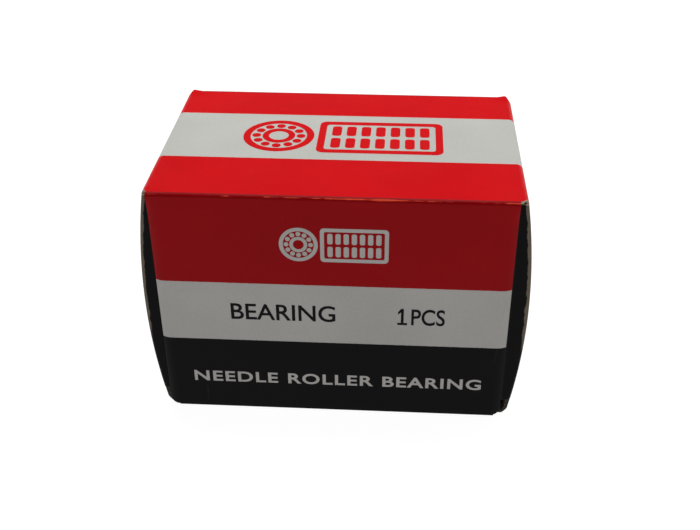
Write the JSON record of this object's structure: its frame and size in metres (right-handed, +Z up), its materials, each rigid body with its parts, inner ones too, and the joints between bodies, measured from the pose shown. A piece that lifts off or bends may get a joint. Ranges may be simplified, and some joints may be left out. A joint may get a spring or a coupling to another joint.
{
  "type": "boxed needle roller bearing",
  "caption": "Drawn-cup needle roller bearing with two caged rows of needles, inside a printed straight-tuck folding carton that opens at both ends.",
  "frame": {"origin": "middle of the carton's footprint, on the surface it stands on", "axes": "+X along the bearing's axis and the carton's longest side, -Y towards the front lid, +Z up"},
  "size_m": [0.0636, 0.0414, 0.0435],
  "materials": {
    "printed_board": "coated, printed red, white and black",
    "inner_board": "uncoated greyish board",
    "shell_steel": "drawn and hardened, lightly oiled",
    "cage_steel": "dull pressed steel",
    "needle_steel": "ground and polished bearing steel"
  },
  "bodies": {
    "carton": {"carton_sleeve": "printed_board"},
    "bearing_shell": {"outer_shell": "shell_steel"},
    "front_lid": {"front_lid": "printed_board"},
    "front_tuck_flap": {"front_tuck_flap": "inner_board"},
    "front_dust_flap_left": {"front_dust_flap_left": "inner_board"},
    "front_dust_flap_right": {"front_dust_flap_right": "inner_board"},
    "back_lid": {"back_lid": "printed_board"},
    "back_tuck_flap": {"back_tuck_flap": "inner_board"},
    "back_dust_flap_left": {"back_dust_flap_left": "inner_board"},
    "back_dust_flap_right": {"back_dust_flap_right": "inner_board"},
    "cage_left": {"cage_left": "cage_steel"},
    "needle_left_01": {"needle_left_01": "needle_steel"},
    "needle_left_02": {"needle_left_02": "needle_steel"},
    "needle_left_03": {"needle_left_03": "needle_steel"},
    "needle_left_04": {"needle_left_04": "needle_steel"},
    "needle_left_05": {"needle_left_05": "needle_steel"},
    "needle_left_06": {"needle_left_06": "needle_steel"},
    "needle_left_07": {"needle_left_07": "needle_steel"},
    "needle_left_08": {"needle_left_08": "needle_steel"},
    "needle_left_09": {"needle_left_09": "needle_steel"},
    "needle_left_10": {"needle_left_10": "needle_steel"},
    "needle_left_11": {"needle_left_11": "needle_steel"},
    "needle_left_12": {"needle_left_12": "needle_steel"},
    "needle_left_13": {"needle_left_13": "needle_steel"},
    "needle_left_14": {"needle_left_14": "needle_steel"},
    "needle_left_15": {"needle_left_15": "needle_steel"},
    "needle_left_16": {"needle_left_16": "needle_steel"},
    "needle_left_17": {"needle_left_17": "needle_steel"},
    "needle_left_18": {"needle_left_18": "needle_steel"},
    "needle_left_19": {"needle_left_19": "needle_steel"},
    "needle_left_20": {"needle_left_20": "needle_steel"},
    "needle_left_21": {"needle_left_21": "needle_steel"},
    "needle_left_22": {"needle_left_22": "needle_steel"},
    "needle_left_23": {"needle_left_23": "needle_steel"},
    "needle_left_24": {"needle_left_24": "needle_steel"},
    "cage_right": {"cage_right": "cage_steel"},
    "needle_right_01": {"needle_right_01": "needle_steel"},
    "needle_right_02": {"needle_right_02": "needle_steel"},
    "needle_right_03": {"needle_right_03": "needle_steel"},
    "needle_right_04": {"needle_right_04": "needle_steel"},
    "needle_right_05": {"needle_right_05": "needle_steel"},
    "needle_right_06": {"needle_right_06": "needle_steel"},
    "needle_right_07": {"needle_right_07": "needle_steel"},
    "needle_right_08": {"needle_right_08": "needle_steel"},
    "needle_right_09": {"needle_right_09": "needle_steel"},
    "needle_right_10": {"needle_right_10": "needle_steel"},
    "needle_right_11": {"needle_right_11": "needle_steel"},
    "needle_right_12": {"needle_right_12": "needle_steel"},
    "needle_right_13": {"needle_right_13": "needle_steel"},
    "needle_right_14": {"needle_right_14": "needle_steel"},
    "needle_right_15": {"needle_right_15": "needle_steel"},
    "needle_right_16": {"needle_right_16": "needle_steel"},
    "needle_right_17": {"needle_right_17": "needle_steel"},
    "needle_right_18": {"needle_right_18": "needle_steel"},
    "needle_right_19": {"needle_right_19": "needle_steel"},
    "needle_right_20": {"needle_right_20": "needle_steel"},
    "needle_right_21": {"needle_right_21": "needle_steel"},
    "needle_right_22": {"needle_right_22": "needle_steel"},
    "needle_right_23": {"needle_right_23": "needle_steel"},
    "needle_right_24": {"needle_right_24": "needle_steel"}
  },
  "joints": [
    {"name": "bearing_draw_out", "type": "slide", "parent": "carton", "child": "bearing_shell", "axis": [0, -1, 0], "range_m": [0, 0.0315]},
    {"name": "front_lid_hinge", "type": "hinge", "parent": "carton", "child": "front_lid", "pos_m": [0, -0.0205, 0.04325], "axis": [-1, 0, 0], "range_deg": [0, 179.65]},
    {"name": "front_tuck_hinge", "type": "hinge", "parent": "front_lid", "child": "front_tuck_flap", "pos_m": [0, -0.0205, 0.00105], "axis": [-1, 0, 0], "range_deg": [0, 44.99]},
    {"name": "front_dust_hinge_left", "type": "hinge", "parent": "carton", "child": "front_dust_flap_left", "pos_m": [-0.029, -0.0197, 0.02175], "axis": [0, 0, -1], "range_deg": [0, 179.65]},
    {"name": "front_dust_hinge_right", "type": "hinge", "parent": "carton", "child": "front_dust_flap_right", "pos_m": [0.029, -0.0197, 0.02175], "axis": [0, 0, 1], "range_deg": [0, 179.65]},
    {"name": "back_lid_hinge", "type": "hinge", "parent": "carton", "child": "back_lid", "pos_m": [0, 0.0205, 0.04325], "axis": [1, 0, 0], "range_deg": [0, 179.5]},
    {"name": "back_tuck_hinge", "type": "hinge", "parent": "back_lid", "child": "back_tuck_flap", "pos_m": [0, 0.0205, 0.00105], "axis": [1, 0, 0], "range_deg": [0, 44.99]},
    {"name": "back_dust_hinge_left", "type": "hinge", "parent": "carton", "child": "back_dust_flap_left", "pos_m": [-0.029, 0.0197, 0.02175], "axis": [0, 0, 1], "range_deg": [0, 179.65]},
    {"name": "back_dust_hinge_right", "type": "hinge", "parent": "carton", "child": "back_dust_flap_right", "pos_m": [0.029, 0.0197, 0.02175], "axis": [0, 0, -1], "range_deg": [0, 179.65]},
    {"name": "cage_left_spin", "type": "hinge", "parent": "bearing_shell", "child": "cage_left", "pos_m": [-0.0108, 0.00065, 0.0193], "axis": [1, 0, 0], "continuous": true},
    {"name": "needle_left_01_roll", "type": "hinge", "parent": "cage_left", "child": "needle_left_01", "pos_m": [-0.0108, 0.00277, 0.00319], "axis": [1, 0, 0], "continuous": true},
    {"name": "needle_left_02_roll", "type": "hinge", "parent": "cage_left", "child": "needle_left_02", "pos_m": [-0.0108, 0.00687, 0.00429], "axis": [1, 0, 0], "continuous": true},
    {"name": "needle_left_03_roll", "type": "hinge", "parent": "cage_left", "child": "needle_left_03", "pos_m": [-0.0108, 0.01054, 0.00641], "axis": [1, 0, 0], "continuous": true},
    {"name": "needle_left_04_roll", "type": "hinge", "parent": "cage_left", "child": "needle_left_04", "pos_m": [-0.0108, 0.01354, 0.00941], "axis": [1, 0, 0], "continuous": true},
    {"name": "needle_left_05_roll", "type": "hinge", "parent": "cage_left", "child": "needle_left_05", "pos_m": [-0.0108, 0.01566, 0.01308], "axis": [1, 0, 0], "continuous": true},
    {"name": "needle_left_06_roll", "type": "hinge", "parent": "cage_left", "child": "needle_left_06", "pos_m": [-0.0108, 0.01676, 0.01718], "axis": [1, 0, 0], "continuous": true},
    {"name": "needle_left_07_roll", "type": "hinge", "parent": "cage_left", "child": "needle_left_07", "pos_m": [-0.0108, 0.01676, 0.02142], "axis": [1, 0, 0], "continuous": true},
    {"name": "needle_left_08_roll", "type": "hinge", "parent": "cage_left", "child": "needle_left_08", "pos_m": [-0.0108, 0.01566, 0.02552], "axis": [1, 0, 0], "continuous": true},
    {"name": "needle_left_09_roll", "type": "hinge", "parent": "cage_left", "child": "needle_left_09", "pos_m": [-0.0108, 0.01354, 0.02919], "axis": [1, 0, 0], "continuous": true},
    {"name": "needle_left_10_roll", "type": "hinge", "parent": "cage_left", "child": "needle_left_10", "pos_m": [-0.0108, 0.01054, 0.03219], "axis": [1, 0, 0], "continuous": true},
    {"name": "needle_left_11_roll", "type": "hinge", "parent": "cage_left", "child": "needle_left_11", "pos_m": [-0.0108, 0.00687, 0.03431], "axis": [1, 0, 0], "continuous": true},
    {"name": "needle_left_12_roll", "type": "hinge", "parent": "cage_left", "child": "needle_left_12", "pos_m": [-0.0108, 0.00277, 0.03541], "axis": [1, 0, 0], "continuous": true},
    {"name": "needle_left_13_roll", "type": "hinge", "parent": "cage_left", "child": "needle_left_13", "pos_m": [-0.0108, -0.00147, 0.03541], "axis": [1, 0, 0], "continuous": true},
    {"name": "needle_left_14_roll", "type": "hinge", "parent": "cage_left", "child": "needle_left_14", "pos_m": [-0.0108, -0.00557, 0.03431], "axis": [1, 0, 0], "continuous": true},
    {"name": "needle_left_15_roll", "type": "hinge", "parent": "cage_left", "child": "needle_left_15", "pos_m": [-0.0108, -0.00924, 0.03219], "axis": [1, 0, 0], "continuous": true},
    {"name": "needle_left_16_roll", "type": "hinge", "parent": "cage_left", "child": "needle_left_16", "pos_m": [-0.0108, -0.01224, 0.02919], "axis": [1, 0, 0], "continuous": true},
    {"name": "needle_left_17_roll", "type": "hinge", "parent": "cage_left", "child": "needle_left_17", "pos_m": [-0.0108, -0.01436, 0.02552], "axis": [1, 0, 0], "continuous": true},
    {"name": "needle_left_18_roll", "type": "hinge", "parent": "cage_left", "child": "needle_left_18", "pos_m": [-0.0108, -0.01546, 0.02142], "axis": [1, 0, 0], "continuous": true},
    {"name": "needle_left_19_roll", "type": "hinge", "parent": "cage_left", "child": "needle_left_19", "pos_m": [-0.0108, -0.01546, 0.01718], "axis": [1, 0, 0], "continuous": true},
    {"name": "needle_left_20_roll", "type": "hinge", "parent": "cage_left", "child": "needle_left_20", "pos_m": [-0.0108, -0.01436, 0.01308], "axis": [1, 0, 0], "continuous": true},
    {"name": "needle_left_21_roll", "type": "hinge", "parent": "cage_left", "child": "needle_left_21", "pos_m": [-0.0108, -0.01224, 0.00941], "axis": [1, 0, 0], "continuous": true},
    {"name": "needle_left_22_roll", "type": "hinge", "parent": "cage_left", "child": "needle_left_22", "pos_m": [-0.0108, -0.00924, 0.00641], "axis": [1, 0, 0], "continuous": true},
    {"name": "needle_left_23_roll", "type": "hinge", "parent": "cage_left", "child": "needle_left_23", "pos_m": [-0.0108, -0.00557, 0.00429], "axis": [1, 0, 0], "continuous": true},
    {"name": "needle_left_24_roll", "type": "hinge", "parent": "cage_left", "child": "needle_left_24", "pos_m": [-0.0108, -0.00147, 0.00319], "axis": [1, 0, 0], "continuous": true},
    {"name": "cage_right_spin", "type": "hinge", "parent": "bearing_shell", "child": "cage_right", "pos_m": [0.0108, 0.00065, 0.0193], "axis": [1, 0, 0], "continuous": true},
    {"name": "needle_right_01_roll", "type": "hinge", "parent": "cage_right", "child": "needle_right_01", "pos_m": [0.0108, 0.00277, 0.00319], "axis": [1, 0, 0], "continuous": true},
    {"name": "needle_right_02_roll", "type": "hinge", "parent": "cage_right", "child": "needle_right_02", "pos_m": [0.0108, 0.00687, 0.00429], "axis": [1, 0, 0], "continuous": true},
    {"name": "needle_right_03_roll", "type": "hinge", "parent": "cage_right", "child": "needle_right_03", "pos_m": [0.0108, 0.01054, 0.00641], "axis": [1, 0, 0], "continuous": true},
    {"name": "needle_right_04_roll", "type": "hinge", "parent": "cage_right", "child": "needle_right_04", "pos_m": [0.0108, 0.01354, 0.00941], "axis": [1, 0, 0], "continuous": true},
    {"name": "needle_right_05_roll", "type": "hinge", "parent": "cage_right", "child": "needle_right_05", "pos_m": [0.0108, 0.01566, 0.01308], "axis": [1, 0, 0], "continuous": true},
    {"name": "needle_right_06_roll", "type": "hinge", "parent": "cage_right", "child": "needle_right_06", "pos_m": [0.0108, 0.01676, 0.01718], "axis": [1, 0, 0], "continuous": true},
    {"name": "needle_right_07_roll", "type": "hinge", "parent": "cage_right", "child": "needle_right_07", "pos_m": [0.0108, 0.01676, 0.02142], "axis": [1, 0, 0], "continuous": true},
    {"name": "needle_right_08_roll", "type": "hinge", "parent": "cage_right", "child": "needle_right_08", "pos_m": [0.0108, 0.01566, 0.02552], "axis": [1, 0, 0], "continuous": true},
    {"name": "needle_right_09_roll", "type": "hinge", "parent": "cage_right", "child": "needle_right_09", "pos_m": [0.0108, 0.01354, 0.02919], "axis": [1, 0, 0], "continuous": true},
    {"name": "needle_right_10_roll", "type": "hinge", "parent": "cage_right", "child": "needle_right_10", "pos_m": [0.0108, 0.01054, 0.03219], "axis": [1, 0, 0], "continuous": true},
    {"name": "needle_right_11_roll", "type": "hinge", "parent": "cage_right", "child": "needle_right_11", "pos_m": [0.0108, 0.00687, 0.03431], "axis": [1, 0, 0], "continuous": true},
    {"name": "needle_right_12_roll", "type": "hinge", "parent": "cage_right", "child": "needle_right_12", "pos_m": [0.0108, 0.00277, 0.03541], "axis": [1, 0, 0], "continuous": true},
    {"name": "needle_right_13_roll", "type": "hinge", "parent": "cage_right", "child": "needle_right_13", "pos_m": [0.0108, -0.00147, 0.03541], "axis": [1, 0, 0], "continuous": true},
    {"name": "needle_right_14_roll", "type": "hinge", "parent": "cage_right", "child": "needle_right_14", "pos_m": [0.0108, -0.00557, 0.03431], "axis": [1, 0, 0], "continuous": true},
    {"name": "needle_right_15_roll", "type": "hinge", "parent": "cage_right", "child": "needle_right_15", "pos_m": [0.0108, -0.00924, 0.03219], "axis": [1, 0, 0], "continuous": true},
    {"name": "needle_right_16_roll", "type": "hinge", "parent": "cage_right", "child": "needle_right_16", "pos_m": [0.0108, -0.01224, 0.02919], "axis": [1, 0, 0], "continuous": true},
    {"name": "needle_right_17_roll", "type": "hinge", "parent": "cage_right", "child": "needle_right_17", "pos_m": [0.0108, -0.01436, 0.02552], "axis": [1, 0, 0], "continuous": true},
    {"name": "needle_right_18_roll", "type": "hinge", "parent": "cage_right", "child": "needle_right_18", "pos_m": [0.0108, -0.01546, 0.02142], "axis": [1, 0, 0], "continuous": true},
    {"name": "needle_right_19_roll", "type": "hinge", "parent": "cage_right", "child": "needle_right_19", "pos_m": [0.0108, -0.01546, 0.01718], "axis": [1, 0, 0], "continuous": true},
    {"name": "needle_right_20_roll", "type": "hinge", "parent": "cage_right", "child": "needle_right_20", "pos_m": [0.0108, -0.01436, 0.01308], "axis": [1, 0, 0], "continuous": true},
    {"name": "needle_right_21_roll", "type": "hinge", "parent": "cage_right", "child": "needle_right_21", "pos_m": [0.0108, -0.01224, 0.00941], "axis": [1, 0, 0], "continuous": true},
    {"name": "needle_right_22_roll", "type": "hinge", "parent": "cage_right", "child": "needle_right_22", "pos_m": [0.0108, -0.00924, 0.00641], "axis": [1, 0, 0], "continuous": true},
    {"name": "needle_right_23_roll", "type": "hinge", "parent": "cage_right", "child": "needle_right_23", "pos_m": [0.0108, -0.00557, 0.00429], "axis": [1, 0, 0], "continuous": true},
    {"name": "needle_right_24_roll", "type": "hinge", "parent": "cage_right", "child": "needle_right_24", "pos_m": [0.0108, -0.00147, 0.00319], "axis": [1, 0, 0], "continuous": true}
  ],
  "couplings": [
    {"joint": "front_lid_hinge", "follows": "bearing_draw_out", "rad_per_m": 99.484},
    {"joint": "front_tuck_hinge", "follows": "bearing_draw_out", "rad_per_m": 24.871},
    {"joint": "front_dust_hinge_left", "follows": "bearing_draw_out", "rad_per_m": 99.484},
    {"joint": "front_dust_hinge_right", "follows": "bearing_draw_out", "rad_per_m": 99.484},
    {"joint": "back_tuck_hinge", "follows": "back_lid_hinge", "ratio": 0.25},
    {"joint": "back_dust_hinge_left", "follows": "back_lid_hinge", "ratio": 1},
    {"joint": "back_dust_hinge_right", "follows": "back_lid_hinge", "ratio": 1},
    {"joint": "needle_left_01_roll", "follows": "cage_left_spin", "ratio": -14},
    {"joint": "needle_left_02_roll", "follows": "cage_left_spin", "ratio": -14},
    {"joint": "needle_left_03_roll", "follows": "cage_left_spin", "ratio": -14},
    {"joint": "needle_left_04_roll", "follows": "cage_left_spin", "ratio": -14},
    {"joint": "needle_left_05_roll", "follows": "cage_left_spin", "ratio": -14},
    {"joint": "needle_left_06_roll", "follows": "cage_left_spin", "ratio": -14},
    {"joint": "needle_left_07_roll", "follows": "cage_left_spin", "ratio": -14},
    {"joint": "needle_left_08_roll", "follows": "cage_left_spin", "ratio": -14},
    {"joint": "needle_left_09_roll", "follows": "cage_left_spin", "ratio": -14},
    {"joint": "needle_left_10_roll", "follows": "cage_left_spin", "ratio": -14},
    {"joint": "needle_left_11_roll", "follows": "cage_left_spin", "ratio": -14},
    {"joint": "needle_left_12_roll", "follows": "cage_left_spin", "ratio": -14},
    {"joint": "needle_left_13_roll", "follows": "cage_left_spin", "ratio": -14},
    {"joint": "needle_left_14_roll", "follows": "cage_left_spin", "ratio": -14},
    {"joint": "needle_left_15_roll", "follows": "cage_left_spin", "ratio": -14},
    {"joint": "needle_left_16_roll", "follows": "cage_left_spin", "ratio": -14},
    {"joint": "needle_left_17_roll", "follows": "cage_left_spin", "ratio": -14},
    {"joint": "needle_left_18_roll", "follows": "cage_left_spin", "ratio": -14},
    {"joint": "needle_left_19_roll", "follows": "cage_left_spin", "ratio": -14},
    {"joint": "needle_left_20_roll", "follows": "cage_left_spin", "ratio": -14},
    {"joint": "needle_left_21_roll", "follows": "cage_left_spin", "ratio": -14},
    {"joint": "needle_left_22_roll", "follows": "cage_left_spin", "ratio": -14},
    {"joint": "needle_left_23_roll", "follows": "cage_left_spin", "ratio": -14},
    {"joint": "needle_left_24_roll", "follows": "cage_left_spin", "ratio": -14},
    {"joint": "needle_right_01_roll", "follows": "cage_right_spin", "ratio": -14},
    {"joint": "needle_right_02_roll", "follows": "cage_right_spin", "ratio": -14},
    {"joint": "needle_right_03_roll", "follows": "cage_right_spin", "ratio": -14},
    {"joint": "needle_right_04_roll", "follows": "cage_right_spin", "ratio": -14},
    {"joint": "needle_right_05_roll", "follows": "cage_right_spin", "ratio": -14},
    {"joint": "needle_right_06_roll", "follows": "cage_right_spin", "ratio": -14},
    {"joint": "needle_right_07_roll", "follows": "cage_right_spin", "ratio": -14},
    {"joint": "needle_right_08_roll", "follows": "cage_right_spin", "ratio": -14},
    {"joint": "needle_right_09_roll", "follows": "cage_right_spin", "ratio": -14},
    {"joint": "needle_right_10_roll", "follows": "cage_right_spin", "ratio": -14},
    {"joint": "needle_right_11_roll", "follows": "cage_right_spin", "ratio": -14},
    {"joint": "needle_right_12_roll", "follows": "cage_right_spin", "ratio": -14},
    {"joint": "needle_right_13_roll", "follows": "cage_right_spin", "ratio": -14},
    {"joint": "needle_right_14_roll", "follows": "cage_right_spin", "ratio": -14},
    {"joint": "needle_right_15_roll", "follows": "cage_right_spin", "ratio": -14},
    {"joint": "needle_right_16_roll", "follows": "cage_right_spin", "ratio": -14},
    {"joint": "needle_right_17_roll", "follows": "cage_right_spin", "ratio": -14},
    {"joint": "needle_right_18_roll", "follows": "cage_right_spin", "ratio": -14},
    {"joint": "needle_right_19_roll", "follows": "cage_right_spin", "ratio": -14},
    {"joint": "needle_right_20_roll", "follows": "cage_right_spin", "ratio": -14},
    {"joint": "needle_right_21_roll", "follows": "cage_right_spin", "ratio": -14},
    {"joint": "needle_right_22_roll", "follows": "cage_right_spin", "ratio": -14},
    {"joint": "needle_right_23_roll", "follows": "cage_right_spin", "ratio": -14},
    {"joint": "needle_right_24_roll", "follows": "cage_right_spin", "ratio": -14}
  ]
}
